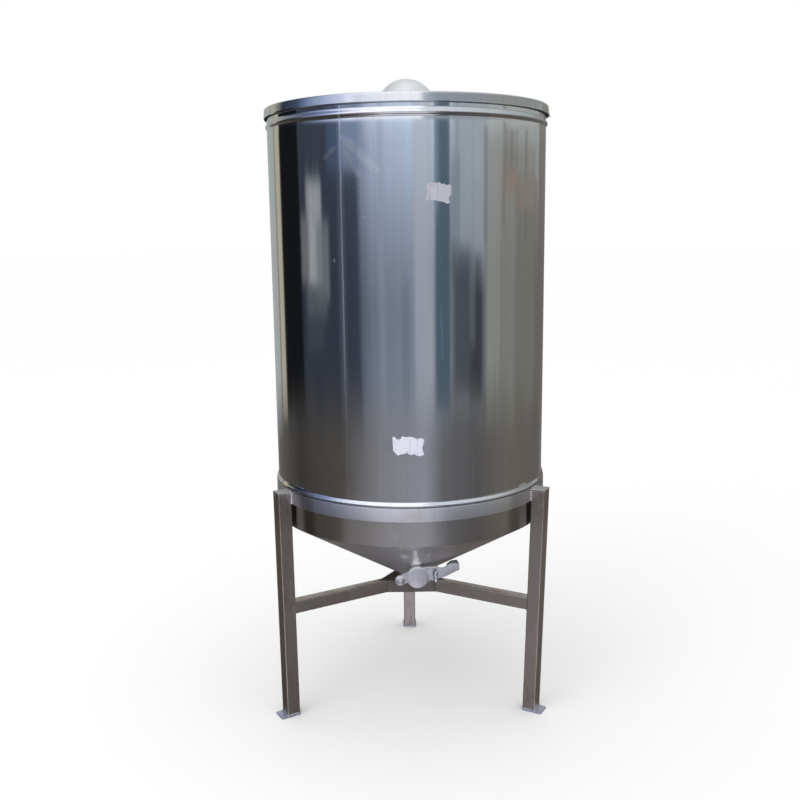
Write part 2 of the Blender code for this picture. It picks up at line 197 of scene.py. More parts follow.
class Finish(Graph):
    """The graph of a new material with a Principled shader."""

    def __init__(self, name):
        self.made = bpy.data.materials.new(name)
        self.made.use_nodes = True
        super().__init__(self.made.node_tree)
        self.shader = self.tree.nodes["Principled BSDF"]
        self.place = self.make("ShaderNodeTexCoord", output="Object")

    def patches(self, scale, low, high, detail, rough=0.5, along=1):
        """1 in soft patches and 0 between them. An along below 1 draws them out along Z."""
        place = self.place if along == 1 else self.scaled(self.place, (1, 1, along))
        return self.span(self.noise(place, scale, detail, rough), low, high)

    def streaks(self, wide, long, lean, low, high, seed):
        """Thin marks that run along Z, leaning by some radians: 1 on a mark and 0 off it."""
        leaning = self.scaled(self.place, (1, 1, 1), (0, lean, 0))
        stretched = self.scaled(leaning, (1 / wide, 1 / wide, 1 / long), shift=(seed, seed * 0.7, seed * 0.3))
        return self.span(self.noise(stretched, 1, 0), low, high)

    def specks(self, size, share, seed):
        """Small round spots in a share of the cells of a given size."""
        moved = self.scaled(self.place, (1, 1, 1), shift=(seed,) * 3)
        cells = self.make("ShaderNodeTexVoronoi", {"Vector": moved, "Scale": 1 / size}, "Distance")
        pick = self.make("ShaderNodeSeparateColor", {0: cells.node.outputs["Color"]})
        return self.times(self.span(cells, 0.034, 0.014), self.math("LESS_THAN", pick, share))

    def shade(self, tone, rough, metal=1, relief=None, depth=0, strength=1):
        """Sets the shader, with a bump where a relief is given. Returns the material."""
        self.feed(self.shader, {"Base Color": tone, "Roughness": rough, "Metallic": metal})
        if relief is not None:
            bump = self.make("ShaderNodeBump", {"Height": relief, "Distance": depth, "Strength": strength})
            self.feed(self.shader, {"Normal": bump})
        return self.made


def colour(value):
    """A grey level or a colour as four numbers; a socket stays as it is."""
    if isinstance(value, bpy.types.NodeSocket):
        return value
    if isinstance(value, (int, float)):
        return (value, value, value, 1)
    return (*value, 1)


def dimmed(tone, share):
    return tuple(share * level for level in tone)


def sheet_steel(name, tone, rough, mark=1, soil=0.3):
    """Polished sheet with faint rubbing marks down its length, a few scratches, spots and grime."""
    g = Finish(name)
    fine = g.streaks(0.0014, 0.3, 0, 0.35, 0.8, 3)
    broad = g.streaks(0.012, 0.9, 0, 0.35, 0.75, 11)
    scratch = g.math("MAXIMUM", g.streaks(0.0016, 0.06, 0.55, 0.815, 0.85, 21),
                     g.streaks(0.0014, 0.09, -0.35, 0.815, 0.85, 31))
    spots = g.specks(0.055, 0.16, 5)
    low = g.span(g.xyz(g.place)[2], 1, 0.55)
    grime = g.times(g.patches(5, 0.42, 0.75, 4, 0.6), g.scale_add(low, soil, soil * 0.3))
    base = g.layers(tone, (broad, 0.3, dimmed(tone, 0.88)), (grime, 0.8, (0.3, 0.26, 0.21)),
                    (spots, 0.5, (0.85, 0.85, 0.84)))
    level = g.add_shares(rough, (fine, 0.03 * mark), (broad, 0.025 * mark), (grime, 0.25),
                         (scratch, 0.16 * mark), (spots, 0.3))
    relief = g.minus(g.times(fine, 0.3), g.times(scratch, 0.6))
    g.shade(base, level, 1, relief, 0.000012 * mark)
    return g, base, level


def rubbed_line(g, across, up, start, end, width):
    """A soft straight mark between two points given as (distance round the wall, height)."""
    run = (end[0] - start[0], end[1] - start[1])
    length = run[0] ** 2 + run[1] ** 2
    dx = g.minus(across, start[0])
    dy = g.minus(up, start[1])
    share = g.scale_add(dx, run[0] / length, g.times(dy, run[1] / length), clamp=True)
    off_x = g.scale_add(share, -run[0], dx)
    off_y = g.scale_add(share, -run[1], dy)
    off = g.math("SQRT", g.scale_add(off_x, off_x, g.times(off_y, off_y)))
    return g.span(off, width, width * 0.25)


def marks(g, across, up, places):
    """Several soft straight marks in one, each 1 at its middle times its strength."""
    mask = None
    for start, end, width, strength in places:
        line = g.times(rubbed_line(g, across, up, start, end, width), strength)
        mask = line if mask is None else g.math("MAXIMUM", mask, line)
    return mask


def shade_beside_legs(g, turn):
    """1 beside the legs, where painted shade stands for the dark gaps between the legs and the sheet. Turn is the
    angle from the tank's front.
    """
    off = g.math("ABSOLUTE", g.minus(g.math("ABSOLUTE", turn), radians(60)))
    off = g.math("MINIMUM", off, g.minus(pi, g.math("ABSOLUTE", turn)))
    return g.span(off, radians(20), radians(14.5))


SCUFFS = [
    # start and end as (distance round the wall, height), width, strength
    ((-0.169, 1.645), (-0.082, 1.567), 0.015, 0.4),
    ((-0.168, 1.618), (-0.131, 1.56), 0.012, 0.3),
    ((-0.223, 1.605), (-0.197, 1.625), 0.01, 0.25),
    ((-0.176, 1.655), (-0.176, 1.65), 0.003, 0.7),
    ((-0.15, 1.64), (-0.112, 1.6), 0.012, 0.3),
    ((-0.12, 1.455), (-0.118, 1.452), 0.003, 0.6),
    ((-0.205, 1.345), (-0.204, 1.342), 0.0035, 0.6),
    ((0.08, 1.21), (0.082, 1.09), 0.006, 0.2),
]

# Painted reflections on the cone: pale streaks and spots where it mirrors the outlet pipe and the gate
PAINTED_CONE_REFLECTIONS = [
    # as above, with the distance measured across the outlet
    ((-0.0243, 0.55), (-0.0109, 0.488), 0.0095, 0.5),
    ((-0.0109, 0.492), (-0.006, 0.444), 0.012, 0.85),
    ((-0.0045, 0.458), (-0.0045, 0.44), 0.022, 1),
    ((-0.054, 0.524), (-0.044, 0.506), 0.014, 0.3),
    ((0.021, 0.53), (0.02, 0.514), 0.007, 0.28),
]

# A painted highlight along the top of the outlet pipe
PAINTED_PIPE_HIGHLIGHT = [((-0.0035, 0.1), (-0.0035, 0.18), 0.012, 1)]


def wall_steel():
    """The wall's sheet: its weld seam ground flat, scuffed places near it, a duller skirt under the hoop, and
    painted shade on the skirt beside the legs.
    """
    g, base, level = sheet_steel("wall_steel", (0.8, 0.81, 0.83), 0.042)
    x, y, z = g.xyz(g.place)
    turn = g.turn_from_front(x, y)
    wobble = g.noise(g.scaled(g.place, (0.01, 0.01, 6)), 1, 3)
    line = g.math("ADD", turn, g.scale_add(wobble, 0.006, -0.003))
    seam = g.span(g.math("ABSOLUTE", g.minus(line, SEAM_TURN)), 0.0085, 0.002)
    seam = g.times(seam, g.span(z, 0.9, 1.2, 0.15, 1))
    patchy = g.span(g.noise(g.scaled(g.place, (60, 60, 9)), 1, 4), 0.3, 0.65)
    scuff = marks(g, g.times(turn, TANK_R), z, SCUFFS)
    scuff = g.times(scuff, g.scale_add(patchy, 0.5, 0.5))
    skirt = g.span(z, HOOP_LOW_Z + 0.01, HOOP_LOW_Z - 0.01)
    # painted shade: the skirt is darkened beside the legs, where the gaps between the legs and the sheet lie in
    # shade
    stain = g.times(shade_beside_legs(g, turn), skirt)
    tone = g.layers(base, (seam, 0.6, (0.78, 0.88, 1)), (skirt, 0.45, (0.68, 0.62, 0.56)),
                    (stain, 0.6, (0.13, 0.12, 0.11)))
    rough = g.add_shares(level, (g.times(seam, patchy), 0.14), (skirt, 0.12), (scuff, 0.26))
    dull = g.math("MAXIMUM", g.times(seam, 0.11), g.times(scuff, 0.2))
    return g.shade(tone, rough, g.minus(1, dull))


def steel_with_painted_glints(name, tone, rough, places, turn, along, facing):
    """Sheet steel with pale, less metallic places that are painted reflections and highlights. The places lie
    across and along the outlet.
    """
    g, base, level = sheet_steel(name, tone, rough, 1, 0.6)
    x, y, z = g.xyz(g.place)
    across = g.scale_add(y, sin(turn), g.times(x, cos(turn)))
    patchy = g.span(g.noise(g.place, 130, 3), 0.3, 0.65, 0.6, 1)
    # the pale places: painted reflections and highlights, paler, rougher and less metallic
    pale = g.times(marks(g, across, z, places), patchy)
    pale = g.times(pale, g.math("GREATER_THAN", g.times(y, facing), 0))
    near = g.span(z, *along)
    base = g.layers(base, (near, 0.4, (0.4, 0.38, 0.38)))
    return g.shade(g.mix(pale, base, (0.95, 0.95, 0.98)),
                   g.add_shares(level, (near, 0.24), (pale, 0.35)), g.scale_add(pale, -0.8, 1))


def hoop_steel():
    """The hoop's flat bar, brushed round its length, so that it mirrors in upright bands. It carries painted shade
    beside the legs.
    """
    g, base, level = sheet_steel("hoop_bar_steel", (0.85, 0.84, 0.88), 0.42, 0.5, 0.4)
    x, y, _ = g.xyz(g.place)
    # painted shade: the bar is darkened beside the legs
    stain = shade_beside_legs(g, g.turn_from_front(x, y))
    tangent = g.make("ShaderNodeTangent", direction_type="RADIAL", axis="Z")
    g.feed(g.shader, {"Anisotropic": 0.85, "Anisotropic Rotation": 0.25, "Tangent": tangent})
    return g.shade(g.layers(base, (stain, 0.45, (0.27, 0.26, 0.26))), level)


def tube_steel(name, tone, rough, stain, top):
    """Ground tube and bar: brush lines, grime, brown stains, darker towards the top, and heat marks and a pale rim
    at the top, which is partly metal ground bright at the welds and partly a painted highlight.
    """
    g = Finish(name)
    brush = g.streaks(0.0009, 0.06, 0, 0.3, 0.75, 7)
    cloud = g.patches(13, 0.36, 0.68, 5, 0.6, 0.4)
    blots = g.patches(42, 0.5, 0.7, 4, 0.65, 0.6)
    light = g.patches(24, 0.55, 0.72, 3, 0.6, 0.5)
    z = g.xyz(g.place)[2]
    heat = g.span(g.math("ABSOLUTE", g.minus(z, top)), 0.045, 0.01)
    heat = g.times(heat, g.patches(60, 0.35, 0.65, 3))
    base = g.layers(
        tone, (cloud, 0.4, dimmed(tone, 0.66)), (light, 0.2, (0.78, 0.75, 0.73)),
        (g.span(z, top - 0.15, top - 0.05), 0.45, dimmed(tone, 0.45)), (blots, stain, (0.2, 0.145, 0.105)),
        (g.span(z, 0.2, 0), g.scale_add(blots, 0.4, 0.1), (0.18, 0.145, 0.11)),
        # the pale rim at the top: partly metal ground bright at the welds, partly a painted highlight on the top
        # edge
        (heat, 0.3, (0.45, 0.36, 0.28)), (g.span(z, top - 0.014, top - 0.002), 0.6, (0.86, 0.86, 0.88)))
    level = g.add_shares(rough, (brush, 0.07), (cloud, 0.1), (blots, 0.15))
    relief = g.math("ADD", g.times(brush, 0.3), g.times(blots, 0.6))
    return g.shade(base, level, 1, relief, 0.00005)


def cast_steel(name, tone, rough, grain, metal=1):
    """Satin metal with a fine grain, darker clouds and a few nicks."""
    g = Finish(name)
    cloud = g.patches(60, 0.35, 0.7, 4, 0.6)
    nick = g.streaks(0.0006, 0.01, 0.9, 0.76, 0.79, 9)
    base = g.layers(tone, (cloud, 0.35, dimmed(tone, 0.8)))
    level = g.add_shares(rough, (cloud, 0.12), (nick, 0.15))
    return g.shade(base, level, metal, g.minus(g.noise(g.place, 900, 3), nick), grain)


def weld_steel():
    """Weld beads: bright ripples with straw and blue-brown heat colours in patches."""
    g = Finish("weld_steel")
    patch = g.patches(55, 0.35, 0.65, 3)
    heat = g.ramp(g.noise(g.place, 30, 2),
                  [(0.35, (0.66, 0.65, 0.64)), (0.5, (0.5, 0.42, 0.33)), (0.6, (0.36, 0.34, 0.38)),
                   (0.72, (0.62, 0.61, 0.6))])
    base = g.layers((0.72, 0.71, 0.7), (patch, 0.5, heat))
    ripple = g.noise(g.place, 500, 3)
    return g.shade(base, g.scale_add(patch, 0.15, 0.24), 1, ripple, 0.0001)


def paper(name, clean, stained):
    """Torn paper backing: fibres, grey glue stains and soft upright creases."""
    g = Finish(name)
    fibre = g.noise(g.scaled(g.place, (1, 1, 0.6)), 700, 5, 0.7)
    fleck = tuple(min(0.95, 1.12 * level) for level in clean)
    base = g.layers(clean, (g.patches(110, 0.42, 0.68, 4, 0.6), 0.6, stained),
                    (g.patches(95, 0.54, 0.62, 1, 0.5, 0.1), 0.4, dimmed(stained, 0.8)),
                    (g.span(fibre, 0.35, 0.7), 0.25, fleck))
    g.feed(g.shader, {"Specular IOR Level": 0.2})
    return g.shade(base, 0.8, 0, fibre, 0.0002, 0.6)


# --- Shapes ---
def placed(name, data):
    """A new object in the scene."""
    item = bpy.data.objects.new(name, data)
    bpy.context.scene.collection.objects.link(item)
    return item


def add_piece(name, mesh, finish, node, place=Matrix(), sharp=None, instead=True):
    """Makes a mesh a piece with the body of a node and a finish, and it replaces the node unless instead is False.

    Edges beyond the angle sharp, in degrees, stay sharp.
    """
    if sharp:
        mesh.shade_smooth()
        mesh.set_sharp_from_angle(angle=radians(sharp))
    mesh.name = name
    item = placed(name, mesh)
    item.matrix_world = place
    mesh.materials.clear()
    mesh.materials.append(finish)
    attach(item, BODIES[node])
    if instead:
        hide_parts(node)
    return item


def second_finish(item, finish, chosen):
    """Gives the faces for which chosen(face) holds another finish."""
    item.data.materials.append(finish)
    for face in item.data.polygons:
        if chosen(face):
            face.material_index = 1


def faces_axis(face):
    """Whether a face of a turned sheet looks inwards."""
    return face.normal.x * face.center.x + face.normal.y * face.center.y < -0.1


def upper_edge(face):
    """Whether a face of a gate part looks up; such faces take a pale finish that paints a highlight."""
    return face.normal.y > 0.42


def arc(centre, radius, start_deg, end_deg, count):
    points = []
    for i in range(count + 1):
        angle = radians(start_deg + (end_deg - start_deg) * i / count)
        points.append((centre[0] + radius * cos(angle), centre[1] + radius * sin(angle)))
    return points


def circle(radius, count):
    return arc((0, 0), radius, 0, 360, count)[:-1]


def rounded(corners, radius, closed=True, count=4):
    """A line of points whose corners are rounded. Each corner is (x, y) or (x, y, its own radius)."""
    points = []
    total = len(corners)
    for i, corner in enumerate(corners):
        here = Vector(corner[:2])
        size = corner[2] if len(corner) > 2 else radius
        if not closed and i in (0, total - 1) or size <= 0:
            points.append(tuple(here))
            continue
        before = Vector(corners[i - 1][:2]) - here
        after = Vector(corners[(i + 1) % total][:2]) - here
        half = before.angle(after) / 2
        back = min(size / tan(half), before.length * 0.49, after.length * 0.49)
        start = here + before.normalized() * back
        end = here + after.normalized() * back
        for j in range(count + 1):
            t = j / count
            points.append(tuple(start * (1 - t) ** 2 + here * 2 * t * (1 - t) + end * t ** 2))
    return points


def offset_line(points, distance):
    """The line moved to its right-hand side, point by point."""
    moved = []
    for i, point in enumerate(points):
        before = Vector(points[max(i - 1, 0)])
        after = Vector(points[min(i + 1, len(points) - 1)])
        along = (after - before).normalized()
        moved.append((point[0] + along.y * distance, point[1] - along.x * distance))
    return moved


def taken(shape, outwards=True):
    """The mesh of a bmesh, with its faces turned outwards first."""
    if outwards:
        bmesh.ops.recalc_face_normals(shape, faces=shape.faces)
    mesh = bpy.data.meshes.new("mesh")
    shape.to_mesh(mesh)
    shape.free()
    return mesh


def turned(profile, steps=288, closed=True, shift=None):
    """A mesh turned round Z from a profile of (radius, z). shift(spot) may move each point."""
    shape = bmesh.new()
    rings = []
    for radius, z in profile:
        if radius < 1e-6:
            rings.append([shape.verts.new((0, 0, z))] * steps)
            continue
        spots = [Vector((x, y, z)) for x, y in circle(radius, steps)]
        rings.append([shape.verts.new(shift(spot) if shift else spot) for spot in spots])
    for upper, lower in zip(rings, rings[1:] + rings[:1] if closed else rings[1:]):
        for i in range(steps):
            j = (i + 1) % steps
            corners = [upper[i], lower[i], lower[j], upper[j]]
            unique = [v for k, v in enumerate(corners) if v not in corners[:k]]
            if len(unique) > 2:
                shape.faces.new(unique)
    return taken(shape)


def waviness(size, length, seed, fades=()):
    """Pushes a sheet in and out a little, as rolled sheet is never quite true.

    Each fade is the height where the push begins and how far above it, or below it, the push is whole.
    """
    def shift(spot):
        radius = hypot(spot.x, spot.y)
        sample = Vector((spot.x, spot.y, spot.z * 0.8)) / length + Vector((seed, seed, seed))
        push = size * noise.noise(sample) + 0.2 * size * noise.noise(sample * 3.1)
        for z, whole in fades:
            push *= min(1, max(0, (spot.z - z) / whole))
        return spot + Vector((spot.x, spot.y, 0)) * (push / radius)
    return shift


def band(shape, one, other):
    """Faces between two closed rows of points."""
    for i in range(len(one)):
        j = (i + 1) % len(one)
        shape.faces.new((one[i], one[j], other[j], other[i]))


def bead_along(points, radius, sides, ripple, pitch, closed=False):
    """A round bar through points, its girth rippled like a weld bead."""
    spots = [Vector(p) for p in points]
    count = len(spots)
    shape = bmesh.new()
    rings = []
    travelled = 0
    side = None
    for i, spot in enumerate(spots):
        before = spots[i - 1] if (i or closed) else spot
        after = spots[(i + 1) % count] if (i < count - 1 or closed) else spot
        along = (after - before).normalized()
        if side is None:
            side = along.orthogonal().normalized()
        side = (side - along * side.dot(along)).normalized()
        up = along.cross(side)
        if i:
            travelled += (spot - spots[i - 1]).length
        swell = 1 + ripple * (sin(2 * pi * travelled / pitch) + 0.5 * noise.noise(spot * 220))
        end = 0.35 if not closed and i in (0, count - 1) else 1
        rings.append([shape.verts.new(spot + (side * u + up * v) * radius * swell * end)
                      for u, v in circle(1, sides)])
    for one, other in zip(rings, rings[1:] + rings[:1] if closed else rings[1:]):
        band(shape, one, other)
    if not closed:
        shape.faces.new(rings[0][::-1])
        shape.faces.new(rings[-1])
    mesh = taken(shape)
    mesh.shade_smooth()
    return mesh


def between(start, end, step=0.0009):
    """Points on a straight line, close together."""
    start, end = Vector(start), Vector(end)
    count = max(2, round((end - start).length / step))
    return [start.lerp(end, i / count) for i in range(count + 1)]


def beads_through(corners, radius, sides, pitch):
    """Straight weld beads from each corner to the next."""
    return [bead_along(between(one, other), radius, sides, 0.2, pitch) for one, other in zip(corners, corners[1:])]


def lumpy(start, end, radius, seed):
    """A short hand-laid weld of overlapping blobs, for the places that show most."""
    wander = []
    for point in between(start, end, 0.0008):
        sample = Vector((point.z, point.x, seed)) * 150
        wander.append(point + Vector((noise.noise(sample), noise.noise(sample + Vector((9, 9, 9))), 0)) * 0.0008)
    return bead_along(wander, radius, 10, 0.34, 0.0062)


def joined(meshes):
    """Several meshes as one."""
    shape = bmesh.new()
    for mesh in meshes:
        shape.from_mesh(mesh)
        bpy.data.meshes.remove(mesh)
    made = taken(shape, False)
    made.shade_smooth()
    return made


def evaluated(item):
    """The mesh of an object with its modifiers applied; the object is removed."""
    bpy.context.view_layer.update()
    mesh = bpy.data.meshes.new_from_object(item.evaluated_get(bpy.context.evaluated_depsgraph_get()))
    bpy.data.objects.remove(item, do_unlink=True)
    return mesh


def cut_mesh(mesh, cutters):
    """A mesh less some other meshes, all in one frame."""
    item = placed("being_cut", mesh)
    tools = [placed("cutter", cutter) for cutter in cutters]
    for tool in tools:
        modifier = item.modifiers.new("cut", "BOOLEAN")
        modifier.operation = "DIFFERENCE"
        modifier.solver = "EXACT"
        modifier.object = tool
    made = evaluated(item)
    for tool in tools:
        bpy.data.objects.remove(tool, do_unlink=True)
    return made


def softened(mesh, width, segments, angle, weighted=True):
    """A mesh whose edges above an angle in degrees are rounded, and whose large faces stay flat."""
    mesh.shade_smooth()
    item = placed("being_softened", mesh)
    if width:
        bevel = item.modifiers.new("soft_edges", "BEVEL")
        bevel.width = width
        bevel.segments = segments
        bevel.limit_method = "ANGLE"
        bevel.angle_limit = radians(angle)
    if weighted:
        normals = item.modifiers.new("flat_faces", "WEIGHTED_NORMAL")
        normals.weight = 100
        normals.keep_sharp = True
    return evaluated(item)


def refined(node, name, finish, width):
    """A node's shape as a finer piece: its own faces made whole, with softened edges. It replaces the node."""
    shape = bmesh.new()
    shape.from_mesh(frame["nodes"][node].data)
    bmesh.ops.remove_doubles(shape, verts=shape.verts, dist=1e-6)
    bmesh.ops.dissolve_limit(shape, angle_limit=radians(0.6), verts=shape.verts, edges=shape.edges)
    add_piece(name, softened(taken(shape, False), width, 2, 38), finish, node)


def block(low, high, width, segments, weighted=True):
    """A solid between two rows of points, with rounded edges."""
    shape = bmesh.new()
    rows = [[shape.verts.new(point) for point in row] for row in (low, high)]
    shape.faces.new(rows[1])
    shape.faces.new(rows[0][::-1])
    band(shape, *rows)
    return softened(taken(shape), width, segments, 50, weighted)


def plate(outline, back, front, width=0, segments=0):
    """A plate in the outlet's frame, from an outline of (right, up)."""
    return block([(*point, back) for point in outline], [(*point, front) for point in outline], width, segments)


def cylinder(radius, low, high, sides=64):
    return turned([(0, high), (radius, high), (radius, low), (0, low)], sides, False)


def moved(mesh, u, v):
    mesh.transform(Matrix.Translation((u, v, 0)))
    return mesh


# --- Tank ---
def pressed_bead(z, up, down, out):
    """A pressed bead's (swell, z): smooth, and steeper below its crest."""
    line = [(0, z + up + 0.0016)]
    for i in range(21):
        t = 1 - i / 10
        line.append((out * 0.5 * (1 + cos(pi * t)), z + (up if t > 0 else down) * t))
    return line + [(0, z - down - 0.0016)]


def make_wall(steel, inside):
    """The cylinder with its two pressed beads, as one sheet with an inside and an outside."""
    high_end = BEAD_HIGH_Z - HIGH_BEAD[1]
    top, low = high_end - 0.06, BEAD_LOW_Z + LOW_BEAD[0] + 0.0016
    rows = [(0, WALL_TOP_Z)] + pressed_bead(BEAD_HIGH_Z, *HIGH_BEAD)
    rows += [(0, high_end - d) for d in (0.004, 0.007, 0.011, 0.016, 0.022, 0.029, 0.037, 0.047, 0.06)]
    rows += [(0, top + (low - top) * i / 42) for i in range(1, 42)]
    rows += pressed_bead(BEAD_LOW_Z, *LOW_BEAD)
    rows += [(0, HOOP_TOP_Z - 0.02 * i) for i in range(1, 5)] + [(0, WALL_LOW_Z)]
    outer = [(TANK_R + swell - NECK * exp(min(0, z - high_end) / 0.013), z) for swell, z in rows]
    wave = waviness(0.00045, 0.33, 3.7, [(0.73, 0.12), (1.69, -0.08)])
    sheet = turned(outer + offset_line(outer, WALL_T)[::-1], shift=wave)
    second_finish(add_piece("tank_wall_sheet", sheet, steel, "tank_wall", TANK_AT, 50), inside, faces_axis)


def cone_r(z):
    return (z - CONE_APEX_Z) / CONE_SLOPE


def make_cone(steel, inside):
    """The cone bottom with the outlet's bore. Its weld to the wall is ground flush."""
    top = WALL_LOW_Z - 0.00002
    tip = CONE_APEX_Z + TIP_R * CONE_SLOPE
    rise = WALL_T / cos(atan(CONE_SLOPE))
    heights = [top + (tip - top) * i / 26 for i in range(27)]
    outer = [(cone_r(z), z) for z in heights]
    inner = [(max(cone_r(z - rise), 0.001), z) for z in heights[::-1]]
    inner[0] = (TIP_R - 0.0005, tip + rise)
    cone = turned(outer + inner, shift=waviness(0.0006, 0.2, 9.1, [(top, -0.05), (tip, 0.08)]))
    bore = cylinder(BORE_R, TIP_R, 0.18)
    bore.transform(Matrix.Translation(-AXIS) @ OUTLET_AT)
    item = add_piece("tank_cone_sheet", cut_mesh(cone, [bore]), steel, "tank_cone", TANK_AT, 50)
    second_finish(item, inside, lambda face: face.normal.z > 0.2)


def make_outlet(steel, weld):
    """The outlet pipe, its end shaped to the cone, and the weld round it."""
    end = BODY_BACK - GAP
    pipe = turned(rounded([(PIPE_R, end, 0.0003), (PIPE_R, 0.03), (BORE_R, 0.03), (BORE_R, end, 0.0003)], 0), 72)
    high = 0.56
    lift = GAP / cos(atan(CONE_SLOPE))
    solid = turned([(0, high), (cone_r(high + lift), high), (0, CONE_APEX_Z - lift)], 288, False)
    solid.transform(OUTLET_AT.inverted() @ TANK_AT)
    add_piece("outlet_pipe_tube", cut_mesh(pipe, [solid]), steel, "outlet_pipe", OUTLET_AT, 40)
    ring = [OUTLET_AT @ Vector((u, v, sqrt((cone_r(OUTLET_Z + v) + 0.0012) ** 2 - u ** 2)))
            for u, v in circle(PIPE_R + 0.0006, 420)]
    bead = bead_along(ring, 0.0017, 8, 0.18, 0.0035, True)
    add_piece("weld_outlet", bead, weld, "outlet_pipe", instead=False)


# --- Lid ---
def make_lid(steel, inside, dome_steel, weld):
    """The lid with its folded edge and hem, the domed cap and the weld round the cap."""
    low, top = LID_LOW_Z, LID_TOP_Z
    outer = [(r, top) for r in (0, 0.06, 0.12, 0.18, 0.24, 0.3, 0.35, 0.385, 0.402)]
    outer += arc((LID_R - 0.0046, top - 0.003), 0.003, 90, 4, 6)
    outer += [(LID_R - 0.0012, top - 0.008), (LID_R - 0.0008, top - 0.014), (LID_R - 0.0003, low + 0.0035),
              (LID_R - 0.0001, low + 0.0012), (LID_R - 0.0004, low + 0.0003), (LID_R - 0.0012, low)]
    flat = sum(z == top for _, z in outer)
    inner = [(r, top - LID_T) for r, _ in outer[:flat]]
    inner += [(min(r, LID_R - LID_T), max(z, low + 0.0002)) for r, z in offset_line(outer, LID_T)[flat:]]
    wave = waviness(0.0004, 0.3, 5.3)
    plate_r = 0.39

    def shift(spot):
        """The plate is a little uneven, and its hem is bent out at one place on the right."""
        radius = hypot(spot.x, spot.y)
        if radius < plate_r:
            rise = 0.0006 * noise.noise(Vector((spot.x, spot.y, 0)) / 0.13) * min(1, (plate_r - radius) / 0.05)
            return spot + Vector((0, 0, rise))
        around = atan2(spot.y, spot.x) - LIP_TURN
        near = exp(-(around / 0.03) ** 2) * max(0, (low + 0.008 - spot.z) / 0.008)
        return wave(spot) + Vector((cos(LIP_TURN), sin(LIP_TURN), -1.6)) * 0.003 * near

    def within(face):
        """Whether a face is on the lid's inside, but not under its hem."""
        return faces_axis(face) or face.normal.z < -0.5 and face.center.z > low + 0.006

    lid = turned(outer + inner[::-1], 288, False, shift)
    second_finish(add_piece("lid_sheet", lid, steel, "lid_plate", TANK_AT, 45), inside, within)

    rim = reach("lid_dome")
    ball = rim - 0.005
    foot = LID_TOP_Z + GAP
    line = [(0, foot + 0.0015 + ball)] + arc((0, foot + 0.0015), ball, 86, 4, 22)
    line += [(ball + 0.0012, foot + 0.0022), (rim - 0.0006, foot + 0.0015), (rim, foot + 0.0009), (rim, foot),
             (ball - 0.0015, foot)]
    line += arc((0, foot), ball - 0.0015, 4, 86, 12) + [(0, foot + ball - 0.0015)]
    add_piece("lid_cap", turned(line, 192, False), dome_steel, "lid_dome", TANK_AT, 40)
    ring = [(x, y, foot + 0.0004) for x, y in circle(rim, 560)]
    bead = bead_along(ring, 0.0011, 6, 0.15, 0.004, True)
    add_piece("weld_lid_cap", bead, weld, "lid_dome", TANK_AT, instead=False)


# --- Stand ---
def face_r(lean, z):
    """Distance of a leg's inner face from the axis."""
    return HOOP_R + GAP + lean * (z - HOOP_LOW_Z)


def leg_outline(start, end, z):
    """A leg's four corners as (outwards, sideways, up)."""
    half = LEG / 2
    return [(start, -half, z), (end, -half, z), (end, half, z), (start, half, z)]


def make_stand(hoop_steel, stand_steel, hub_painted_shade_steel, foot_steel, weld):
    """The hoop, the tubes and plates, and weld beads wherever they meet."""
    inner = HOOP_R - HOOP_T
    line = rounded([(HOOP_R, HOOP_TOP_Z), (HOOP_R, HOOP_LOW_Z), (inner, HOOP_LOW_Z), (inner, HOOP_TOP_Z)],
                   0.0009, True, 3)
    add_piece("hoop_bar", turned(line), hoop_steel, "stand_hoop", TANK_AT, 50)
    refined("hub_frame", "hub_plates", hub_painted_shade_steel, 0.001)
    refined("cone_tip", "cone_tip_disc", hub_painted_shade_steel, 0.0004)
    half, low_z, high_z = LEG / 2, BRACE_TOP_Z - BRACE_H, BRACE_TOP_Z
    for side, (angle, lean) in LEGS.items():
        refined("leg_" + side, "tube_leg_" + side, stand_steel, 0.00015)
        refined("leg_cap_" + side, "tube_cap_" + side, stand_steel, 0.0005)
        refined("foot_plate_" + side, "foot_" + side, foot_steel, 0.0008)
        refined("brace_" + side, "tube_brace_" + side, stand_steel, 0.00015)
        place = TANK_AT @ Matrix.Rotation(radians(angle), 4, "Z")
        beads = []
        for flank in (-1, 1):
            x, y = sqrt((HOOP_R + 0.001) ** 2 - (half - 0.001) ** 2), flank * (half + 0.0008)
            beads.append(lumpy((x, y, HOOP_LOW_Z + 0.001), (x, y, HOOP_TOP_Z - 0.001), 0.0029, flank))
        top_r = face_r(lean, HOOP_TOP_Z)
        beads += beads_through(leg_outline(top_r + 0.001, top_r + LEG, HOOP_TOP_Z - 0.0022), 0.001, 6, 0.003)
        beads.append(lumpy((top_r, -half + 0.002, HOOP_TOP_Z), (top_r, half - 0.002, HOOP_TOP_Z), 0.002, 5))
        foot_r = face_r(lean, FOOT_T)
        ring = leg_outline(foot_r - 0.0003, foot_r + LEG, FOOT_T)
        beads += beads_through(ring + ring[:1], 0.0018, 8, 0.0038)
        y = BRACE_W / 2 + 0.0005
        ring = [(face_r(lean, v), u, v) for u, v in ((-y, low_z), (y, low_z), (y, high_z), (-y, high_z))]
        beads += beads_through(ring + ring[:1], 0.0019, 8, 0.004)
        add_piece("welds_" + side, joined(beads), weld, "stand_hoop", place, instead=False)
        x = 2 * HUB_IN - y * tan(radians(60)) + 0.001
        seams = []
        for flank in (-y, y):
            seams += beads_through([(x, flank, low_z + 0.001), (x, flank, high_z - 0.001)], 0.0018, 8, 0.004)
        add_piece("hub_welds_" + side, joined(seams), hub_painted_shade_steel, "hub_frame", place, instead=False)


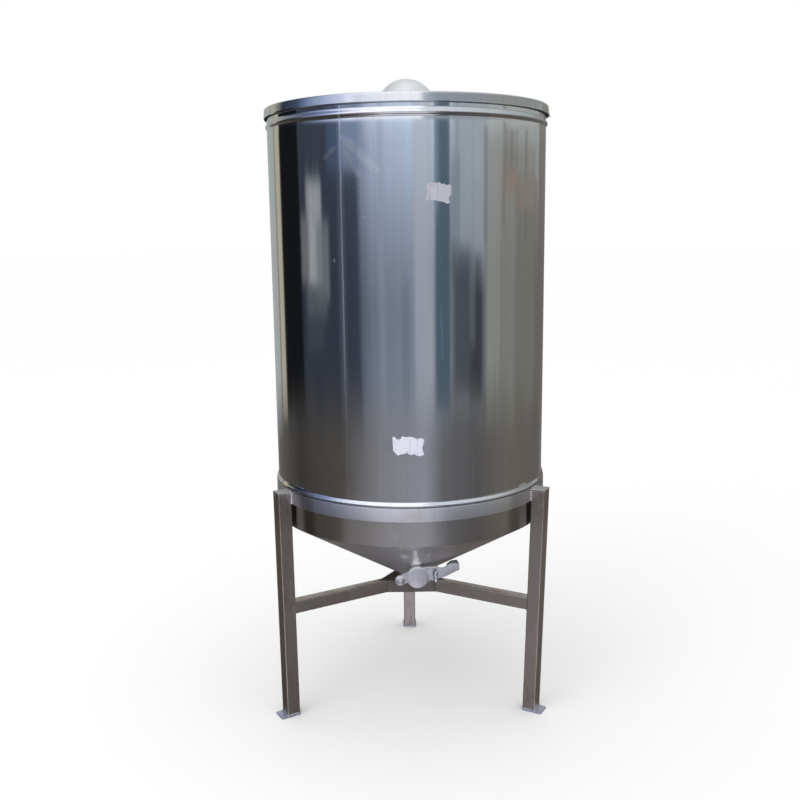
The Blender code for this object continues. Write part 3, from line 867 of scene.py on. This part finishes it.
# --- Gate ---
def make_gate(cast, bright, dark, edge):
    """The lever gate: body, blade with disc and handle, pivot head, threaded stud and wing nut."""
    centre = (0, 0)
    outline = arc(centre, 0.0315, 62, 152, 15) + arc(PIVOT, 0.012, 100, 262, 12)
    outline += arc(centre, 0.0315, 212, 326, 19)
    outline += rounded([(0.04, -0.0085), (0.0635, -0.007), (0.064, 0.025), (0.056, 0.03), (0.024, 0.029)],
                       0.004, False)
    body = plate(outline, BODY_BACK, BODY_FRONT, 0.0022, 4)
    body = cut_mesh(body, [cylinder(BORE_R, BODY_BACK - 0.01, BODY_FRONT + 0.01)])
    # the upward faces take the pale finish, a painted highlight
    second_finish(add_piece("gate_body_casting", body, cast, "gate_body", OUTLET_AT, 30), edge, upper_edge)

    outline = arc(centre, 0.0328, 58, 168, 22) + arc(PIVOT, 0.0155, 48, 288, 22)
    outline += arc(centre, 0.0328, 204, 334, 26)
    outline += rounded([(0.04, -0.011, 0.003), (0.06, -0.0062, 0.01), (0.085, 0.0008, 0.01),
                        (0.105, 0.0105, 0.01), (0.1235, 0.019, 0.004), (0.1225, 0.035, 0.005),
                        (0.113, 0.0398, 0.006), (0.096, 0.0385, 0.006), (0.085, 0.0318, 0.008),
                        (0.076, 0.0272, 0.006), (0.03, 0.0262, 0.004)], 0.004, True, 5)
    blade = plate(outline, BLADE_BACK, GATE_FRONT, 0.0016, 3)
    through = (BLADE_BACK - 0.02, GATE_FRONT + 0.02)
    u, v = STUD
    slot = plate([(u - 0.00575, v), (u + 0.00575, v), (u - 0.004, v + 0.05), (u - 0.0155, v + 0.05)], *through)
    slot_end = moved(cylinder(0.00575, *through, 32), *STUD)
    hole = moved(cylinder(0.0043, *through, 32), *PIVOT)
    blade = cut_mesh(blade, [slot, slot_end, hole])
    disc = ((0, 0.0016), (0.029, 0.0016), (0.03, 0.0013), (0.0322, -0.0002), (0.0322, -0.001), (0, -0.001))
    boss = ((0.0042, 0.0042), (0.0078, 0.0038), (0.0115, 0.0024), (0.014, 0.0004), (0.0146, -0.001),
            (0.0042, -0.001))
    disc = turned([(r, GATE_FRONT + w) for r, w in disc], 96, False)
    boss = moved(turned([(r, GATE_FRONT + w) for r, w in boss], 64), *PIVOT)
    lever = add_piece("gate_lever", joined([blade, disc, boss]), cast, "gate_blade", OUTLET_AT, 28)
    # the upward faces take the pale finish, a painted highlight
    second_finish(lever, edge, upper_edge)
    outline = rounded([(0.09, 0.0065), (0.1215, 0.02), (0.123, 0.036), (0.1165, 0.0465), (0.099, 0.0445),
                       (0.086, 0.035)], 0.004)
    grip = plate(outline, BLADE_BACK - 0.007, GATE_FRONT - 0.002, 0.0012, 3)
    # a dark plate set back behind the handle, seen as a dark band along its upper edge
    add_piece("gate_grip", grip, dark, "gate_blade", OUTLET_AT, instead=False)

    back = (OUTLET_AT.inverted() @ middle("gate_pivot_bolt")).z - 0.014
    head = GATE_FRONT + 0.0015
    line = [(0, head + 0.0034), (0.0026, head + 0.0034), (0.003, head + 0.0054)]
    line += [(0.0088 * sin(a), head + 0.0008 + 0.005 * cos(a)) for a in map(radians, range(26, 87, 10))]
    line += [(0.0088, head), (0.004, head), (0.004, back), (0, back)]
    pivot_at = OUTLET_AT @ Matrix.Translation((*PIVOT, 0))
    add_piece("pivot_screw", turned(line, 48, False), cast, "gate_pivot_bolt", pivot_at, 35)

    front = GATE_FRONT + 0.0005 + 0.011 + 0.005
    line = [(0, front), (0.003, front)]
    z = front - 0.0006
    while z > back + 0.001:
        line += [(0.004, z), (0.004, z - 0.0002), (0.0034, z - 0.0006), (0.0034, z - 0.0007)]
        z -= 0.00125
    line += [(0.0038, back + 0.0005), (0.0032, back), (0, back)]
    stud_at = OUTLET_AT @ Matrix.Translation((*STUD, 0))
    add_piece("threaded_stud", turned(line, 32, False), bright, "gate_clamp_stud", stud_at, 30)

    nut_at = OUTLET_AT @ Matrix.Translation((*STUD, GATE_FRONT + 0.0005))
    line = rounded([(0.01, 0.0013), (0.01, 0), (0.0045, 0), (0.0045, 0.0013)], 0.0003, True, 2)
    washer = turned(line, 48)
    washer.transform(Matrix.Diagonal((0.82, 1.42, 1, 1)))
    # the washer's dark tone is painted shade: the dark lines beside the wing nut
    add_piece("clamp_washer", washer, dark, "gate_wing_nut", nut_at, 40, False)
    line = rounded([(0.0044, 0.0112), (0.0058, 0.0112), (0.0066, 0.0016), (0.0044, 0.0016)], 0.0006, True, 3)
    nut = joined([turned(line, 48), wing(-1), wing(1)])
    add_piece("wing_nut", nut, bright, "gate_wing_nut", nut_at, 40)


def wing(side):
    """One wing: a rounded ear that leans forward, thick at the root and thinner at the rim."""
    points = rounded([(0, 0.0018), (0.0085, 0.0016), (0.015, 0.0042), (0.0178, 0.0085), (0.0174, 0.0124),
                      (0.0135, 0.0134), (0.009, 0.0116), (0, 0.0104)], 0.003)
    rows = [[(half * (0.0046 - 0.0012 * min(1, y / 0.017)), side * y, z) for y, z in points] for half in (1, -1)]
    return block(*rows, 0.0008, 2, False)


# --- Torn paper on the wall ---
# Outlines as (sideways, up) in tenths of a millimetre
UPPER_PAPER = [
    (-330, 230), (-180, 250), (20, 260), (60, 210), (120, 240), (170, 200), (270, 210), (320, 170), (320, -40),
    (250, -110), (260, -170), (290, -250), (210, -270), (100, -220), (-130, -180), (-350, -180), (-310, 40),
]
GLUE_FILM = [
    (-515, 210), (-440, 180), (-340, 180), (-250, 225), (-140, 236), (0, 225), (120, 190), (240, 205), (330, 170),
    (320, 60), (275, -30), (280, -120), (325, -235), (240, -250), (80, -240), (-60, -220), (-200, -205),
    (-300, -220), (-380, -240), (-480, -150), (-510, 0),
]
LOWER_PAPER = [
    (-504, 235), (-462, 248), (-424, 205), (-380, 150), (-318, 142), (-285, 196), (-270, 254), (-209, 253),
    (-172, 225), (-130, 242), (-6, 240), (110, 200), (118, 155), (148, 162), (172, 190), (281, 190), (311, 134),
    (290, 33), (262, -68), (280, -144), (318, -250), (214, -282), (98, -263), (78, -200), (52, -212), (3, -254),
    (-86, -237), (-118, -180), (-140, -135), (-162, -190), (-200, -221), (-319, -237), (-378, -267), (-437, -204),
    (-504, -128), (-494, 50),
]


def torn_patch(name, turn_deg, z, outline, finish, seed, lift):
    """A scrap of torn paper that lies on the wall."""
    rng = random.Random(seed)
    shape = bmesh.new()
    turn = radians(turn_deg)
    corners = [Vector((x / 10000, y / 10000)) for x, y in outline]
    edge = []
    for here, after in zip(corners, corners[1:] + corners[:1]):
        steps = max(2, int((after - here).length / 0.002))
        for j in range(steps):
            ragged = here.lerp(after, j / steps) + Vector((rng.uniform(-1, 1), rng.uniform(-1, 1))) * 0.0005
            edge.append(shape.verts.new((*ragged, 0)))
    bmesh.ops.triangulate(shape, faces=[shape.faces.new(edge)])
    bmesh.ops.subdivide_edges(shape, edges=shape.edges, cuts=2, use_grid_fill=True)
    for vert in shape.verts:
        x, y = vert.co.x, vert.co.y
        curl = 0.0003 * abs(noise.noise(Vector((x, y, seed)) * 160)) + (0 if vert.is_boundary else 0.0003)
        radius = TANK_R + lift + curl
        angle = turn + x / TANK_R
        vert.co = Vector((radius * sin(angle), -radius * cos(angle), z + y))
    mesh = taken(shape, False)
    mesh.shade_smooth()
    add_piece(name, mesh, finish, "tank_wall", TANK_AT, instead=False)


# --- Studio ---
BOARDS = [
    # left, right, lowest, highest elevation in degrees, softness, colour, strength
    (-97, -40, -13, None, 2.5, (0.036, 0.043, 0.062), 0.85),
    (-190, -139, -18, None, 1.5, (0.4, 0.43, 0.42), 1),
    (-137, -127, -11.5, None, 1.2, (0.47, 0.43, 0.32), 1),
    (-126, -98, -11, None, 1.5, (0.008, 0.009, 0.011), 1),
    (-90, -74, -3.4, 2.9, 1.8, (0.38, 0.4, 0.43), 0.9),
    (-97, -88, -3.2, 0.9, 2, (0.17, 0.175, 0.18), 0.9),
    (-80, -67, -4.3, 0.6, 2, (0.18, 0.2, 0.22), 0.8),
    (-92, -70, -5.4, -3.4, 2.5, (0.11, 0.125, 0.14), 0.75),
    (-92, -74, -7.4, -5.4, 2.5, (0.06, 0.07, 0.085), 0.75),
    (-89, -87, -2, 2.4, 1.2, (0.2, 0.21, 0.22), 0.5),
    (-67, -56, 3.4, None, 3, (0.075, 0.115, 0.2), 0.7),
    (-56, -36, 3.5, None, 3, (0.24, 0.31, 0.45), 0.8),
    (-58, -52, -12, 3, 2, (0.14, 0.16, 0.2), 0.35),
    (-24, -19, -16, None, 1.5, (0.3, 0.34, 0.42), 0.35),
    (-6, 0, -12, -3, 1, (0.13, 0.16, 0.21), 0.45),
    (4, 19, -17, None, 1.5, (0.47, 0.49, 0.54), 0.55),
    (-8, -5, None, -11, 1, (0.16, 0.17, 0.21), 0.5),
    (2, 5, None, -11, 1, (0.16, 0.17, 0.21), 0.5),
    (21, 33, -11, None, 1.2, (0.07, 0.112, 0.15), 0.92),
    (20, 24, 1, None, 1.2, (0.22, 0.3, 0.4), 0.6),
    (36, 64, -2.6, None, 2, (0.37, 0.42, 0.46), 0.75),
    (34, 42, -3, 4.2, 2, (0.19, 0.24, 0.28), 0.65),
    (42, 62, -3, 2.8, 2.5, (0.29, 0.31, 0.33), 0.35),
    (34, 53, -3.4, -1, 2.5, (0.08, 0.1, 0.12), 0.6),
    (36, 62, -10, -1.6, 3, (0.062, 0.07, 0.088), 0.85),
    (50, 62, -10.5, -3.4, 2, (0.03, 0.035, 0.042), 0.6),
    (38, 41, -2, None, 1, (0.22, 0.26, 0.3), 0.4),
    (50, 55, -7, 3, 1.5, (0.3, 0.33, 0.37), 0.25),
    (66, 80, -13, 5, 1.5, (0.31, 0.32, 0.29), 0.7),
    (80, 128, -13, 4.5, 2.5, (0.26, 0.26, 0.23), 0.7),
    (97, 133, -13, 2.6, 4, (0.16, 0.155, 0.13), 0.55),
    (63, 66, -1, 6.5, 0.8, (0.13, 0.15, 0.2), 0.6),
    (82, 85, 0, 8, 0.8, (0.16, 0.16, 0.15), 0.5),
    (110, 113, -1, 6, 0.9, (0.13, 0.16, 0.16), 0.55),
    # a brick gable with its window bars
    (83, 99, 2, 3.2, 0.5, (0.32, 0.2, 0.16), 0.65),
    (99, 128, 1, 3.1, 0.9, (0.25, 0.2, 0.17), 0.55),
    *((84, 100, low, high, 0.08, (0.12, 0.12, 0.11), 0.6)
      for low, high in ((5.56, 5.74), (5.1, 5.28), (4.54, 4.72), (3.98, 4.14))),
    (84, 100, 3.46, 3.62, 0.08, (0.12, 0.12, 0.11), 0.55),
    (91, 92.5, 3.3, 5.9, 0.3, (0.14, 0.14, 0.13), 0.5),
    *((101, 127, low, low + 0.12, 0.07, (0.36, 0.33, 0.3), 0.55) for low in (2.46, 1.92, 1.4)),
    (136, 160, -12, None, 2, (0.16, 0.14, 0.12), 0.7),
]

LOW_BOARDS = [
    # what the cone mirrors, from behind and below the tank
    (-182, -150, None, -15, 1, (0.225, 0.22, 0.25), 1),
    (150, 182, None, -15, 1, (0.225, 0.22, 0.25), 1),
    (-182, -150, -38.8, -15, 1, (0.125, 0.108, 0.1), 1),
    (150, 182, -39, -15, 1, (0.135, 0.115, 0.105), 1),
    (150, 175.8, None, -15, 0.5, (0.135, 0.115, 0.105), 1),
    (174.8, 176.2, None, -38, 0.4, (0.06, 0.056, 0.062), 0.9),
    # what the skirt mirrors on its left
    (-60, -22, None, -16.6, 5, (0.25, 0.243, 0.25), 0.7),
    # the pale ground in front, which the hoop and the gate catch
    (-34, 28, -66, -24, 3, (0.74, 0.73, 0.8), 1),
]

# Tones round the studio, from behind by the left to behind again: share of the turn, colour
SKY = [
    (0, (0.3, 0.3, 0.29)), (0.2, (0.045, 0.055, 0.075)), (0.34, (0.09, 0.11, 0.15)), (0.39, (0.2, 0.24, 0.32)),
    (0.42, (0.37, 0.43, 0.56)), (0.5, (0.45, 0.53, 0.67)), (0.555, (0.48, 0.55, 0.65)), (0.6, (0.36, 0.42, 0.46)),
    (0.72, (0.33, 0.34, 0.33)), (1, (0.3, 0.3, 0.29)),
]
GROUND = [
    (0, (0.3, 0.3, 0.33)), (0.07, (0.14, 0.13, 0.12)), (0.2, (0.055, 0.05, 0.045)), (0.34, (0.085, 0.078, 0.07)),
    (0.43, (0.24, 0.24, 0.26)), (0.53, (0.3, 0.31, 0.35)), (0.575, (0.14, 0.14, 0.15)), (0.66, (0.105, 0.1, 0.1)),
    (0.74, (0.15, 0.14, 0.12)), (0.9, (0.13, 0.12, 0.11)), (1, (0.3, 0.3, 0.33)),
]
TOP = [
    (0, (0.5, 0.5, 0.48)), (0.2, (0.12, 0.14, 0.2)), (0.27, (0.22, 0.28, 0.5)), (0.33, (0.95, 1, 1.15)),
    (0.4, (1.25, 1.25, 1.3)), (0.53, (1.25, 1.27, 1.3)), (0.555, (0.8, 0.82, 0.9)), (0.7, (0.62, 0.66, 0.68)),
    (0.85, (0.42, 0.45, 0.46)), (1, (0.5, 0.5, 0.48)),
]
RIM = [
    (0, (0.4, 0.42, 0.42)), (0.14, (0.42, 0.43, 0.34)), (0.18, (0.03, 0.04, 0.06)), (0.235, (0.06, 0.08, 0.13)),
    (0.26, (0.17, 0.23, 0.37)), (0.31, (0.42, 0.5, 0.69)), (0.355, (0.68, 0.75, 0.95)),
    (0.372, (0.88, 0.94, 1.07)), (0.39, (0.8, 0.82, 0.96)), (0.42, (0.9, 0.92, 1.02)), (0.48, (1.02, 1.04, 1.1)),
    (0.527, (1.02, 1.04, 1.1)), (0.538, (0.46, 0.5, 0.56)), (0.56, (0.32, 0.36, 0.42)),
    (0.637, (0.31, 0.33, 0.37)), (0.73, (0.31, 0.31, 0.3)), (0.88, (0.28, 0.3, 0.3)), (1, (0.34, 0.35, 0.35)),
]
# How bright the sky is from 20 degrees below the horizon to 20 above it
RISING = [
    (0.175, 0.46), (0.25, 0.48), (0.3, 0.5), (0.35, 0.48), (0.4, 0.49), (0.45, 0.566), (0.5, 0.7), (0.55, 0.875),
    (0.5925, 1.016), (0.625, 1.15), (0.7, 1.42),
]


def board(g, tone, azimuth, elevation, spec):
    """One soft-edged board round the studio, seen only as a reflection in the metal."""
    left, right, low, high, soft, shade_of, strength = spec
    centre, half = (left + right) / 2, (right - left) / 2
    off = g.math("ABSOLUTE", g.minus(azimuth, centre))
    mask = g.span(off, half + soft, half - soft)
    if low is not None:
        mask = g.times(mask, g.span(elevation, low - 0.6, low + 0.6))
    if high is not None:
        mask = g.times(mask, g.span(elevation, high + 0.5, high - 0.5))
    return g.mix(g.times(mask, strength), tone, shade_of)


def make_world():
    """What the metal mirrors: a bright overcast sky, a dull ground and soft boards between them."""
    world = bpy.data.worlds.new("studio")
    bpy.context.scene.world = world
    world.use_nodes = True
    world.cycles.sampling_method = "NONE"
    tree = world.node_tree
    tree.nodes.clear()
    g = Graph(tree)
    x, y, z = g.xyz(g.make("ShaderNodeTexCoord", output="Generated"))
    azimuth = g.times(g.turn_from_front(x, y), 180 / pi)
    elevation = g.times(g.math("ARCSINE", z), 180 / pi)
    share = g.scale_add(azimuth, 1 / 360, 0.5)
    rising = g.ramp(g.scale_add(elevation, 1 / 40, 0.5), RISING)
    tone = g.mix(1, g.ramp(share, SKY), rising, "MULTIPLY")
    for spec in BOARDS:
        tone = board(g, tone, azimuth, elevation, spec)
    near = g.span(elevation, -17, -27, 1, 0.75)
    near = g.make("ShaderNodeCombineColor", {0: near, 1: near, 2: near})
    ground = g.mix(1, g.ramp(share, GROUND), near, "MULTIPLY")
    uneven = g.noise(g.make("ShaderNodeCombineXYZ", {0: azimuth}), 0.06, 3)
    uneven = g.math("ADD", elevation, g.scale_add(uneven, 5, -2.5))
    tone = g.mix(g.span(uneven, -8, -13.5), tone, ground)
    for spec in LOW_BOARDS:
        tone = board(g, tone, azimuth, elevation, spec)
    for start, end, further in ((-73, -81, (0.75, 0.76, 0.82)), (7.6, 10.5, g.ramp(share, RIM)),
                                (17, 30, g.ramp(share, TOP)), (55, 80, (0.85, 0.87, 0.92))):
        tone = g.mix(g.span(elevation, start, end), tone, further)
    mirrored = g.make("ShaderNodeBackground", {"Color": tone, "Strength": 1})
    plain = g.make("ShaderNodeBackground", {"Color": colour(1), "Strength": 1})
    ray = tree.nodes.new("ShaderNodeLightPath").outputs
    lit = g.make("ShaderNodeMixShader", {0: ray["Is Diffuse Ray"], 1: mirrored, 2: plain})
    seen = g.make("ShaderNodeMixShader", {0: ray["Is Camera Ray"], 1: lit, 2: plain})
    g.feed(tree.nodes.new("ShaderNodeOutputWorld"), {"Surface": seen})


def make_floor():
    """A wide pale floor."""
    g = Finish("floor_pale")
    g.feed(g.shader, {"Specular IOR Level": 0})
    mesh = turned([(60, 0), (8, 0), (2, 0), (0, 0)], 96, False)
    if mesh.polygons[0].normal.z < 0:
        mesh.flip_normals()
    floor = placed("floor", mesh)
    mesh.materials.append(g.shade(g.mix(g.noise(g.place, 1.3, 3), 0.985, 0.995), 0.9, 0))
    floor.visible_glossy = False


def make_light():
    """One large soft light from the upper left, for the floor's shadow and the paper."""
    data = bpy.data.lights.new("soft_key", "AREA")
    data.shape = "DISK"
    data.size = 3
    data.energy = 30
    light = placed("soft_key", data)
    light.location = (-2.4, -2.6, 4.2)
    aim = Vector((0, 0, 0.6))
    light.rotation_euler = (aim - light.location).to_track_quat("-Z", "Y").to_euler()
    light.visible_glossy = False


def make_camera():
    """The photograph's place and angle, fitted to the tank's outlines."""
    yaw, pitch, roll = -0.0058, 0.1812, -0.0124
    focal_pixels, frame_pixels, sensor = 939.1, 800, 36
    data = bpy.data.cameras.new("camera")
    data.sensor_width = sensor
    data.lens = focal_pixels * sensor / frame_pixels
    camera = placed("camera", data)
    tilt = Matrix.Rotation(pi / 2 - pitch, 4, "X") @ Matrix.Rotation(roll, 4, "Z")
    camera.matrix_world = (Matrix.Translation(AXIS + Vector((-0.0441, -2.811, 1.4246)))
                           @ Matrix.Rotation(yaw, 4, "Z") @ tilt)
    bpy.context.scene.camera = camera


make_world()
make_floor()
make_light()
make_camera()
bpy.context.scene.view_settings.view_transform = "Standard"

INSIDE = cast_steel("inside_steel", (0.74, 0.74, 0.75), 0.3, 0.00002, 0.75)
TUBE = tube_steel("tube_steel", (0.79, 0.7, 0.64), 0.26, 0.16, HOOP_TOP_Z)
# the hub's dark tone is painted shade: the tube steel darkened where the hub lies under the cone
HUB_PAINTED_SHADE = tube_steel("hub_painted_shade_steel", (0.235, 0.215, 0.19), 0.28, 0.4, HOOP_TOP_Z)
# the foot plates' bluish tone is a painted reflection of the sky on their tops
FOOT_PAINTED_SKY = cast_steel("foot_plate_painted_sky_steel", (0.58, 0.62, 0.8), 0.3, 0.00008, 0.8)
WELD = weld_steel()

make_wall(wall_steel(), INSIDE)
# the cone carries painted reflections and the outlet pipe a painted highlight
make_cone(steel_with_painted_glints("cone_sheet_steel", (0.76, 0.76, 0.77), 0.14, PAINTED_CONE_REFLECTIONS, OUTLET_TURN, (0.592, 0.54), -1),
          INSIDE)
make_outlet(steel_with_painted_glints("outlet_pipe_steel", (0.8, 0.8, 0.82), 0.2, PAINTED_PIPE_HIGHLIGHT, 0, (0.1, 0.12), 1), WELD)
make_lid(sheet_steel("lid_sheet_steel", (0.8, 0.81, 0.83), 0.07, 1, 0.1)[0].made, INSIDE,
         cast_steel("cap_steel", (0.9, 0.92, 0.93), 0.46, 0.00003, 0.6), WELD)
make_stand(hoop_steel(), TUBE, HUB_PAINTED_SHADE, FOOT_PAINTED_SKY, WELD)
make_gate(cast_steel("gate_cast_steel", (0.88, 0.86, 0.91), 0.42, 0.00008),
          cast_steel("bolt_bright_steel", (0.86, 0.86, 0.88), 0.26, 0.00002),
          # dark steel for the grip plate, and painted shade on the washer
          cast_steel("dark_steel", (0.3, 0.28, 0.3), 0.5, 0.00008),
          # a pale, half metallic finish for upward gate faces: a painted highlight
          cast_steel("painted_highlight_steel", (0.93, 0.91, 0.92), 0.45, 0.00005, 0.35))
torn_patch("paper_upper", 10.8, 1.51, UPPER_PAPER,
           paper("paper_backing", (0.45, 0.45, 0.51), (0.35, 0.37, 0.42)), 5, 0.0007)
torn_patch("paper_film", 0, 0.86, GLUE_FILM, paper("glue_film", (0.48, 0.5, 0.61), (0.4, 0.42, 0.52)), 3, 0.0006)
torn_patch("paper_lower", 0, 0.86, LOWER_PAPER,
           paper("torn_paper", (0.69, 0.71, 0.8), (0.54, 0.56, 0.66)), 8, 0.001)
